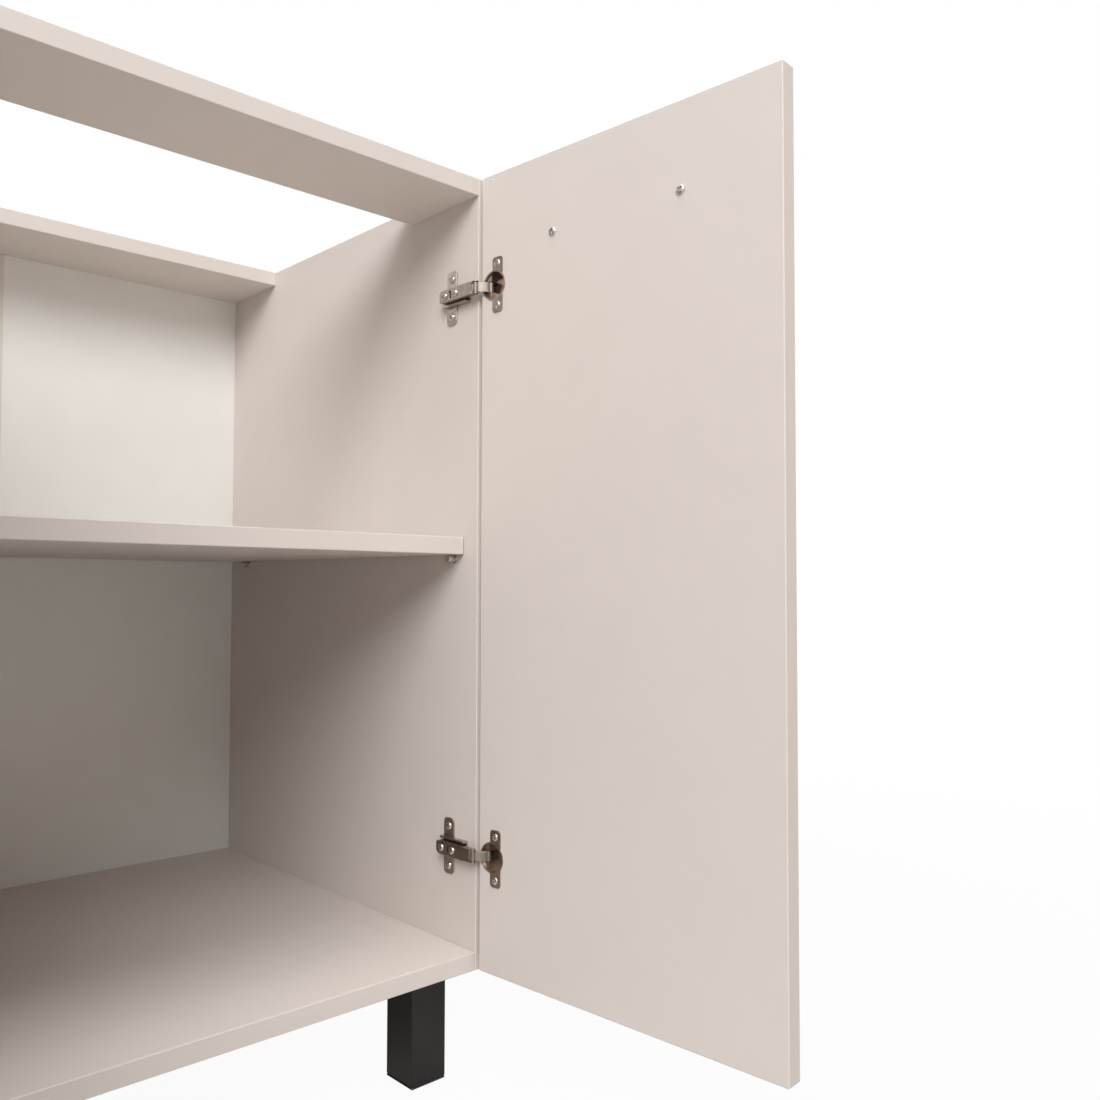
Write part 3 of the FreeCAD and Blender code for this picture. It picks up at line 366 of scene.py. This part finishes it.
def plated(name, bright, deep, roughness, metal=1.0):
    """Plated metal: streaky tone and roughness over the faint waviness of the blank."""
    finish = Finish(name, Metallic=metal)
    streak = finish.noise(grain=0.9 * MM, detail=3.0, stretch=STREAK_STRETCH)
    blotch = finish.noise(grain=5 * MM, detail=3.0)
    tone = (streak * EVEN_SHARE + blotch * EVEN_SHARE).ramp(*STREAK_RISE)
    finish.set("Base Color", tone.mix(bright, deep))
    finish.set("Roughness", roughness + ROUGHNESS_SWING * streak)
    finish.bump(blotch, depth=0.02 * MM)
    return finish


# The plates' paler nickel is painted light. The cups' and links' darker nickel is painted shade.
nickel = {
    "hinge_plate": plated("cast_nickel", PLATE_NICKEL_PAINTED_LIGHT, PLATE_NICKEL_PAINTED_LIGHT_DEEP, roughness=0.22),
    "hinge_arm": plated("pressed_nickel", NICKEL, NICKEL_DEEP, roughness=0.15),
    "hinge_link": plated("link_nickel", LINK_NICKEL_PAINTED_SHADE, LINK_NICKEL_PAINTED_SHADE_DEEP, roughness=0.5),
    "hinge_cup": plated("cup_nickel_painted_shade", CUP_NICKEL_PAINTED_SHADE, CUP_NICKEL_PAINTED_SHADE_DEEP, roughness=0.2, metal=0.85),
}
zinc = plated("zinc_plate", ZINC, ZINC_DEEP, roughness=0.2)
die_cast = plated("die_cast_zinc", CAST_ZINC, CAST_ZINC_DEEP, roughness=0.36)
print(f"{len(nickel)} kinds of nickel and two of zinc")

# %% Black plastic and powder coat
BLACK_PLASTIC, BLACK_PLASTIC_WORN = colour(17, 15, 16), colour(21, 19, 20)
POWDER_BLACK, POWDER_BLACK_WORN = colour(32, 32, 33), colour(42, 42, 42)
WORN_RISE = (0.35, 0.7)
WORN_CLOUD, WORN_PEBBLE = 0.7, 0.3


def black_grain(name, dark, worn, roughness, grain, depth):
    """A black moulded or powder-coated surface with a pebbled grain."""
    finish = Finish(name, Specular_IOR_Level=0.5)
    pebble = finish.noise(grain)
    cloud = finish.noise(grain=18 * MM, detail=3.0)
    tone = (cloud * WORN_CLOUD + pebble * WORN_PEBBLE).ramp(*WORN_RISE)
    finish.set("Base Color", tone.mix(dark, worn))
    finish.set("Roughness", roughness + ROUGHNESS_SWING * pebble)
    finish.bump(pebble, depth)
    return finish


leg_plastic = black_grain("leg_plastic", BLACK_PLASTIC, BLACK_PLASTIC_WORN,
                          roughness=0.2, grain=0.5 * MM, depth=0.004 * MM)
powder_coat = black_grain("powder_coat", POWDER_BLACK, POWDER_BLACK_WORN,
                          roughness=0.45, grain=0.35 * MM, depth=0.02 * MM)
print("black for the legs and the handles")

# %% Beech
BEECH, BEECH_DEEP = colour(205, 168, 122), colour(178, 138, 94)
FIBRE_STRETCH = (0.1, 1, 1)


def beech():
    """Beech with fibres along X."""
    finish = Finish("beech", Roughness=0.6)
    fibre = finish.noise(grain=1.2 * MM, detail=4.0, stretch=FIBRE_STRETCH)
    finish.set("Base Color", fibre.ramp(*SOFT_RISE).mix(BEECH, BEECH_DEEP))
    finish.bump(fibre, depth=0.02 * MM)
    return finish


wear("dowels", beech())
print("beech on the dowels")

# %% Dress the hardware
for name in nodes:
    if name.startswith("hinge_"):
        wear(name, nickel["_".join(name.split("_")[:2])])
    elif name.startswith("leg_") and name != "leg_bolts" or name == "foot_caps":
        wear(name, leg_plastic)
    elif name.startswith("handle_") and "screws" not in name:
        wear(name, powder_coat)
    elif "screws" in name or "pins" in name or name in ("back_nails", "leg_bolts", "cam_bolts"):
        wear(name, zinc)
wear("cam_locks", die_cast)
print("metal and black on the hardware")

# %% [markdown]
# ## Reading a turned part from its solid
# Screws, nails and pins come as groups of plain solids, so each one's place is read from the group. Corners
# that coincide are made one, and every triangle passes its lowest corner number on to its neighbours until
# nothing changes: corners with the same number then belong to the same solid. A turned solid's axis runs
# between the middles of its two end rings, and the wider end is the head.

# %% Separate solids
WELD = 0.001 * MM


def welded(name):
    """A node's corners, each once, and its triangles."""
    mesh = nodes[name].data
    places = np.empty(3 * len(mesh.vertices))
    mesh.vertices.foreach_get("co", places)
    used = np.empty(len(mesh.loops), np.int32)
    mesh.loops.foreach_get("vertex_index", used)
    steps, same = np.unique(np.round(places.reshape(-1, 3) / WELD), axis=0, return_inverse=True)
    return steps * WELD, same.reshape(-1)[used].reshape(-1, 3)


def solids(name):
    """The corners of each separate solid of a node."""
    places, triangles = welded(name)
    label = np.arange(len(places))
    settled = False
    while not settled:
        spread = label.copy()
        np.minimum.at(spread, triangles, label[triangles].min(axis=1)[:, None])
        settled = bool((spread == label).all())
        label = spread
    return [places[label == one] for one in np.unique(label)]


plate_screws = solids("plate_screws")
print(f"{len(plate_screws)} screws hold the hinge plates")

# %% Axes of turned solids
RING = 0.02 * MM


def turned_form(places):
    """Where a turned solid's head is, which way its shank runs, and its main radii and depths."""
    middle = places.mean(axis=0)
    guess = np.linalg.svd(places - middle)[2][0]
    along = (places - middle) @ guess
    rings = [places[abs(along - end) < RING] for end in (along.min(), along.max())]
    centres = [ring.mean(axis=0) for ring in rings]
    radii = [np.linalg.norm(ring - centre, axis=1).max() for ring, centre in zip(rings, centres)]
    head, tip = (0, 1) if radii[0] > radii[1] else (1, 0)
    run = centres[tip] - centres[head]
    length = float(np.linalg.norm(run))
    inwards = run / length
    depth = (places - centres[head]) @ inwards
    radius = np.linalg.norm(places - centres[head] - depth[:, None] * inwards, axis=1)
    widest = radius.max()
    seat = float(depth[radius > widest - RING].max())
    return SimpleNamespace(head=centres[head], inwards=inwards, length=length, seat=seat,
                           widest=float(widest), head_radius=float(radii[head]),
                           shank_radius=float(radii[tip]))


example = turned_form(plate_screws[0])
print(f"each is {example.length / MM:.1f} mm long with a {2 * example.widest / MM:.1f} mm head")

# %% [markdown]
# ## From grids to pieces
# A piece is one or more grids of points. Neighbouring points become quads, borders that coincide are merged,
# so that seams and poles close, and the faces are turned outwards. A finished piece takes the place of the
# solid it was read from, so it rides on the same body.

# %% Piece maker
CREASE = math.radians(40)


def quads(rows, columns, start):
    """The corner numbers of a grid's faces."""
    first = start + np.arange(rows - 1)[:, None] * columns + np.arange(columns - 1)
    return np.stack([first, first + 1, first + columns + 1, first + columns], axis=-1).reshape(-1, 4)


def stand_for(name, mesh, finish, replaced):
    """Makes a piece from a mesh, smooth up to a crease angle, and lets it stand for a solid."""
    mesh.materials.append(finish.material)
    mesh.polygons.foreach_set("use_smooth", np.ones(len(mesh.polygons), bool))
    mesh.set_sharp_from_angle(angle=CREASE)
    made = bpy.data.objects.new(name, mesh)
    bpy.context.scene.collection.objects.link(made)
    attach(made, nodes[replaced]["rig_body"])
    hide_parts(replaced)
    return made


def piece(name, grids, finish, replaced):
    """Makes a piece from grids of points, each of rows by columns by three."""
    counts = [grid.shape[0] * grid.shape[1] for grid in grids]
    starts = np.cumsum([0] + counts[:-1])
    points = np.concatenate([grid.reshape(-1, 3) for grid in grids])
    faces = np.concatenate([quads(*grid.shape[:2], start) for grid, start in zip(grids, starts)])
    mesh = bpy.data.meshes.new(name)
    mesh.from_pydata(points.tolist(), [], faces.tolist())
    build = bmesh.new()
    build.from_mesh(mesh)
    bmesh.ops.remove_doubles(build, verts=build.verts, dist=WELD)
    bmesh.ops.recalc_face_normals(build, faces=build.faces)
    build.to_mesh(mesh)
    build.free()
    stand_for(name, mesh, finish, replaced)
    print(f"{name}: {len(mesh.polygons)} faces")


print("piece maker ready")


# %% Seats for turned pieces
def seated(form, grid, turn=0.0):
    """Sets a grid drawn about +Z, with its seat at 0, on a turned form, turned about its axis."""
    outwards = -form.inwards
    least = np.eye(3)[np.argmin(abs(outwards))]
    side = np.cross(least, outwards)
    side /= np.linalg.norm(side)
    across = np.cross(outwards, side)
    first = side * math.cos(turn) + across * math.sin(turn)
    second = across * math.cos(turn) - side * math.sin(turn)
    seat = form.head + form.inwards * form.seat
    return seat + grid @ np.stack([first, second, outwards])


print("seats ready")

# %% [markdown]
# ## Screws with a cross recess
# A head could be a lathe shape with a cross cut out, but a cut leaves ragged faces. Here the head's top is a
# square grid pulled to a disc, whose middle lines run straight across. The cross follows those lines, so
# its walls stay crisp with few faces. From the rim on, the screw is a lathe shape on the same angles: flat
# under the head, then a shank whose radius dips in a helical thread, then a point or a flat end.

# %% Head with a cross
ARM_HALF_WIDTH, ARM_HALF_LENGTH, WALL_HALF = 0.115, 0.43, 0.015
ARM_GRID = [0, ARM_HALF_WIDTH - WALL_HALF, ARM_HALF_WIDTH + WALL_HALF, 0.22,
            ARM_HALF_LENGTH - WALL_HALF, ARM_HALF_LENGTH + WALL_HALF]
RIM_GRID = [0.55, 0.7, 0.84, 0.94, 1]
HALF_LINES = np.array(ARM_GRID + RIM_GRID)
LINES = np.concatenate([-HALF_LINES[:0:-1], HALF_LINES])
RECESS_FALL = 0.5
QUARTER = math.pi / 2
TINY = 1e-6


def to_disc(a, b):
    """Pulls a square of -1 to 1 to a disc.

    Each coordinate shrinks by the root of 1 less half the other's square.
    """
    return a * np.sqrt(1 - b * b / 2), b * np.sqrt(1 - a * a / 2)


def inside(distance, edge):
    """1 up to an edge and 0 beyond it, with a steep wall between."""
    return np.clip((edge + WALL_HALF - distance) / (2 * WALL_HALF), 0, 1)


def cross_head(radius, height, crown, recess):
    """A domed disc with a sunk cross.

    The radius grows with the sine of the disc radius. The height falls off as the root, of order crown, of
    1 less the same power of the radius. The cross is the larger of two bars, shallower towards its ends.
    """
    a, b = np.meshgrid(LINES, LINES, indexing="ij")
    x, y = to_disc(a, b)
    share = np.minimum(np.hypot(x, y), 1)
    reach = np.sin(QUARTER * share)
    spread = radius * reach / np.maximum(share, TINY)
    dome = height * np.maximum(1 - reach ** crown, 0) ** (1 / crown)
    bars = [inside(abs(p), ARM_HALF_LENGTH) * inside(abs(q), ARM_HALF_WIDTH) for p, q in ((a, b), (b, a))]
    sunk = recess * np.maximum(*bars) * (1 - RECESS_FALL * share / ARM_HALF_LENGTH)
    return np.stack([x * spread, y * spread, dome - sunk], axis=-1)


print(f"a head has {(len(LINES) - 1) ** 2} faces")


# %% Lathe with a thread
def rim_angles():
    """The angles of the disc's border points, once round, with the first one repeated at the end."""
    up_side, flat = LINES[:-1], np.ones(len(LINES) - 1)
    a = np.concatenate([up_side, flat, -up_side, -flat])
    b = np.concatenate([-flat, up_side, flat, -up_side])
    x, y = to_disc(a, b)
    angles = np.unwrap(np.arctan2(y, x))
    return np.append(angles, angles[0] + 2 * math.pi)


def lathe(radii, heights, angles, thread=0.0, pitch=1.0):
    """Turns a profile about Z.

    Each row's radius dips by its thread depth times a triangle wave of the height in pitches less the turn.
    """
    rows = np.shape(radii)
    radii, heights, thread = (np.broadcast_to(row, rows)[:, None] for row in (radii, heights, thread))
    wave = abs(2 * np.mod(heights / pitch - angles / (2 * math.pi), 1) - 1)
    reach = np.maximum(radii - thread * wave, 0)
    levels = np.broadcast_to(heights, reach.shape)
    return np.stack([reach * np.cos(angles), reach * np.sin(angles), levels], axis=-1)


print(f"a head's rim has {len(rim_angles()) - 1} points")

# %% [markdown]
# ## Every screw in its place
# Chipboard screws have a coarse thread and a point, machine screws a fine thread and a flat end. Copies of
# one screw would all show the same cross, but no two real screws stop at the same turn, so each cross is
# turned on by the golden angle from the one before.

# %% Screws
ROWS_PER_TURN = 6
GOLDEN_TURN = math.pi * (3 - math.sqrt(5))
CHIPBOARD = SimpleNamespace(crown=2.6, recess=1.1, pitch=1.5 * MM, thread=0.35 * MM,
                            point=2.5 * MM, end=0.0)
MACHINE = SimpleNamespace(crown=2.6, recess=1.0, pitch=0.7 * MM, thread=0.3 * MM,
                          point=0.4 * MM, end=0.8)
SCREW_KINDS = {
    "plate_screws": CHIPBOARD,
    "cup_screws_right": CHIPBOARD,
    "cup_screws_left": CHIPBOARD,
    "arm_screws": MACHINE,
    "handle_screws_right": MACHINE,
    "handle_screws_left": MACHINE,
}


def screw(form, kind, turn):
    """The two grids of one screw: its head, and its underside, thread and end."""
    head = cross_head(form.widest, form.seat, kind.crown, kind.recess * form.seat)
    run = form.length - form.seat - kind.point
    rows = max(int(ROWS_PER_TURN * run / kind.pitch), 2)
    tip = -run - kind.point
    heights = np.concatenate([[0, 0], -np.linspace(0, run, rows)[1:], [tip, tip]])
    end = form.shank_radius * kind.end
    radii = np.concatenate([[form.widest], np.full(rows, form.shank_radius), [end, 0]])
    thread = np.concatenate([[0, 0], np.full(rows - 1, kind.thread), [0, 0]])
    shank = lathe(radii, heights, rim_angles(), thread, kind.pitch)
    return [seated(form, grid, turn) for grid in (head, shank)]


for group, kind in SCREW_KINDS.items():
    forms = [turned_form(places) for places in solids(group)]
    grids = [grid for turn, form in enumerate(forms) for grid in screw(form, kind, turn * GOLDEN_TURN)]
    piece(f"{group}_cross_recess", grids, zinc, group)

# %% [markdown]
# ## Shelf pins, nails and cam locks
# A shelf pin is turned steel with a collar against the panel and a nose rounded at its end. The back's nails
# have thin, slightly domed heads. A cam lock is a die-cast drum whose face shows a cross for the driver.
# Each could be a stack of cylinders, but only a profile gives the rounded edges, so all are lathe shapes,
# and the drum's face is the screw head's disc made nearly flat.

# %% Shelf pins
ROUND_STEPS, ARC_STEPS = 48, 6
ROUND = np.linspace(0, 2 * math.pi, ROUND_STEPS + 1)
ARC = np.linspace(0, QUARTER, ARC_STEPS + 1)
NOSE_ROUND, COLLAR_HEIGHT, COLLAR_ROUND, PIN_CHAMFER = 1.2 * MM, 0.7 * MM, 0.2 * MM, 0.5 * MM


def shelf_pin(form):
    """A rounded nose, a collar with a rounded edge and a chamfered shank, from the nose to the far end."""
    nose, collar, shank = form.head_radius, form.widest, form.shank_radius
    tip = form.seat
    end = form.seat - form.length
    radii = np.concatenate([[0], nose - NOSE_ROUND * (1 - np.sin(ARC)), [nose],
                            collar - COLLAR_ROUND * (1 - np.sin(ARC)), [collar, shank],
                            [shank, shank - PIN_CHAMFER, 0]])
    heights = np.concatenate([[tip], tip - NOSE_ROUND * (1 - np.cos(ARC)), [COLLAR_HEIGHT],
                              COLLAR_HEIGHT - COLLAR_ROUND * (1 - np.cos(ARC)), [0, 0],
                              [end + PIN_CHAMFER, end, end]])
    return seated(form, lathe(radii, heights, ROUND))


pins = [shelf_pin(turned_form(places)) for places in solids("shelf_pins")]
piece("shelf_pins_turned", pins, zinc, "shelf_pins")

# %% Nails
COARSE_ROUND = ROUND[::2]
NAIL_POINT_RADII = 3


def nail(form):
    """A domed head, whose height falls off as a quarter ellipse, on a plain shank with a point."""
    end = form.seat - form.length
    point = end + NAIL_POINT_RADII * form.shank_radius
    radii = np.concatenate([form.widest * np.sin(ARC), [form.shank_radius, form.shank_radius, 0]])
    heights = np.concatenate([form.seat * np.cos(ARC), [0, point, end]])
    return seated(form, lathe(radii, heights, COARSE_ROUND))


nails = [nail(turned_form(places)) for places in solids("back_nails")]
piece("back_nails_domed", nails, zinc, "back_nails")

# %% Cam locks
CAM_EDGE, CAM_RECESS, CAM_CROWN = 0.25 * MM, 6.0 * MM, 12


def cam_drum(form, middle_level):
    """A drum with a cross in the face that lies further from the cabinet's middle."""
    far = form.head + form.inwards * form.length
    if abs(far[2] - middle_level) > abs(form.head[2] - middle_level):
        form.head, form.inwards = far, -form.inwards
    form.seat = CAM_EDGE
    face = cross_head(form.widest, CAM_EDGE, CAM_CROWN, CAM_RECESS)
    end = CAM_EDGE - form.length
    drum = lathe(np.array([form.widest, form.widest, 0]), np.array([0, end, end]), rim_angles())
    return [seated(form, grid, QUARTER / 2) for grid in (face, drum)]


middle_level = sum(level.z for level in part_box("side_panel_right")) / 2
drums = [grid for places in solids("cam_locks") for grid in cam_drum(turned_form(places), middle_level)]
piece("cam_locks_cross_recess", drums, die_cast, "cam_locks")

# %% [markdown]
# ## Soft edges on the hinges and handles
# Pressed steel has no sharp corners: the press rounds every edge by a few tenths of a millimetre, and those
# edges catch the light. The handles' bars are rounded a little more. The solids have the right shapes, so a
# welded copy of each gets its flat faces joined and its sharp outward edges bevelled. A Bevel modifier would
# take the inward edges too, where thin walls leave it no room. A Weighted Normal modifier then keeps the
# large faces flat, so that only the narrow bevels shade as rounds.

# %% Pressed and rounded metal
FLAT, SHARP_CORNER = math.radians(1), math.radians(65)
BEVEL_STEPS, ROUND_PROFILE = 3, 0.5
EDGE_ROUNDS = {
    "hinge_plate": 0.3 * MM,
    "hinge_arm": 0.3 * MM,
    "hinge_link": 0.25 * MM,
    "hinge_cup": 0.15 * MM,
}
HANDLE_ROUND = 0.5 * MM


def rounded(node, finish, width, name):
    """A welded copy of a solid whose outward corners are rounded to a width."""
    places, triangles = welded(node)
    mesh = bpy.data.meshes.new(name)
    mesh.from_pydata(places.tolist(), [], triangles.tolist())
    build = bmesh.new()
    build.from_mesh(mesh)
    bmesh.ops.dissolve_limit(build, angle_limit=FLAT, verts=build.verts, edges=build.edges)
    corners = [edge for edge in build.edges if edge.is_convex and edge.calc_face_angle() > SHARP_CORNER]
    bmesh.ops.bevel(build, geom=corners, offset=width, segments=BEVEL_STEPS, profile=ROUND_PROFILE,
                    affect="EDGES")
    bmesh.ops.remove_doubles(build, verts=build.verts, dist=WELD)
    build.to_mesh(mesh)
    build.free()
    made = stand_for(name, mesh, finish, node)
    made.modifiers.new("flat_faces", "WEIGHTED_NORMAL").keep_sharp = True


for name in list(nodes):
    for start, width in EDGE_ROUNDS.items():
        if name.startswith(start):
            rounded(name, nickel[start], width, f"{name}_pressed")
for name in ("handle_left", "handle_right"):
    rounded(name, powder_coat, HANDLE_ROUND, f"{name}_rounded")
print("hinges and handles with rounded edges")

# %% [markdown]
# ## Studio
# The picture has a pure white ground and soft light from the front left and from above. A broad key lamp
# and a broad top lamp throw the slanting shadows of the rails and the shelf, a weak lamp behind keeps the
# other sides readable, and the world adds a little warm light from all round. A white world would flood the
# cabinet, so the world is white only to the camera and in reflections. The floor is white to the camera
# except for a small share of its lit self, which keeps the shadows, and in reflections it is mostly its lit
# self. Far from the cabinet the floor fades into white, so no horizon shows.

# %% Floor
WHITE = (1, 1, 1, 1)
FLOOR_HALF = 8.0
FLOOR_PALE = colour(192, 190, 187)
SHADOW_SHARE = 0.05
MIRRORED_WHITE = 0.08
FADE_START, FADE_END = 0.7, 2.2


def rays(tree):
    """Two wires: 1 for a ray straight from the camera, and 1 for one by reflection or through glass."""
    kinds = ("Is Camera Ray", "Is Glossy Ray", "Is Transmission Ray")
    straight, glossy, through = (Wire.node(tree, "ShaderNodeLightPath", output=kind) for kind in kinds)
    return straight, glossy.math("MAXIMUM", glossy, through)


def floor():
    """A square floor that mixes its lit self with white, by kind of ray and by distance."""
    square = np.array([(-1, -1, 0), (1, -1, 0), (1, 1, 0), (-1, 1, 0)]) * FLOOR_HALF
    mesh = bpy.data.meshes.new("floor")
    mesh.from_pydata(square.tolist(), [], [(0, 1, 2, 3)])
    finish = Finish("pale_floor", Base_Color=FLOOR_PALE, Roughness=0.9, Specular_IOR_Level=0.0)
    tree = finish.tree
    glow = Wire.node(tree, "ShaderNodeEmission", None, {"Color": WHITE, "Strength": 1.0})
    lit = Wire(tree, finish.shader.outputs["BSDF"])
    length = {"operation": "LENGTH"}
    distance = Wire.node(tree, "ShaderNodeVectorMath", length, {0: finish.place}, "Value")
    white = 1 - SHADOW_SHARE * (1 - distance.ramp(FADE_START, FADE_END))
    straight, mirrored = rays(tree)
    seen = straight * white
    share = seen.math("MAXIMUM", seen, mirrored * MIRRORED_WHITE)
    mixed = Wire.node(tree, "ShaderNodeMixShader", None, {0: share, 1: lit, 2: glow})
    tree.links.new(mixed.socket, tree.nodes["Material Output"].inputs["Surface"])
    mesh.materials.append(finish.material)
    made = bpy.data.objects.new("floor", mesh)
    bpy.context.scene.collection.objects.link(made)


floor()
print(f"floor of {2 * FLOOR_HALF:.0f} m, white from {FADE_END} m on")

# %% World
AMBIENT = 0.22
AMBIENT_TINT = (1.0, 0.86, 0.78, 1)


def sky():
    """A world that lights a little, in a warm tint, and looks white straight on and in reflections."""
    world = bpy.data.worlds.new("studio")
    bpy.context.scene.world = world
    world.use_nodes = True
    tree = world.node_tree
    ground = tree.nodes["Background"]
    straight, mirrored = rays(tree)
    seen = straight.math("MAXIMUM", straight, mirrored)
    tree.links.new(seen.mix(AMBIENT_TINT, WHITE).socket, ground.inputs["Color"])
    tree.links.new((seen * (1 - AMBIENT) + AMBIENT).socket, ground.inputs["Strength"])


sky()
print(f"world lights with {AMBIENT:.0%} of the white it shows")

# %% Lamps
LAMP_AIM = Vector((0.15, 0.1, 0.5))
KEY_PLACE, KEY_SIZE, KEY_WATTS = Vector((-2.72, -2.94, 3.24)), 3.0, 225
TOP_PLACE, TOP_SIZE, TOP_WATTS = Vector((-0.15, -0.72, 5.42)), 3.64, 175
REAR_PLACE, REAR_SIZE, REAR_WATTS = Vector((2.6, 2.4, 0.9)), 1.8, 45


def lamp(name, place, size, watts):
    """A round area lamp that points at the cabinet."""
    data = bpy.data.lights.new(name, "AREA")
    data.shape = "DISK"
    data.size = size
    data.energy = watts
    made = bpy.data.objects.new(name, data)
    made.location = place
    made.rotation_mode = "QUATERNION"
    made.rotation_quaternion = (LAMP_AIM - place).to_track_quat("-Z", "Y")
    bpy.context.scene.collection.objects.link(made)


lamp("key", KEY_PLACE, KEY_SIZE, KEY_WATTS)
lamp("top", TOP_PLACE, TOP_SIZE, TOP_WATTS)
lamp("rear", REAR_PLACE, REAR_SIZE, REAR_WATTS)
bpy.context.scene.view_settings.view_transform = "Standard"
print("key lamp, top lamp and a weak rear lamp")

# %% Close
print("scene ready")
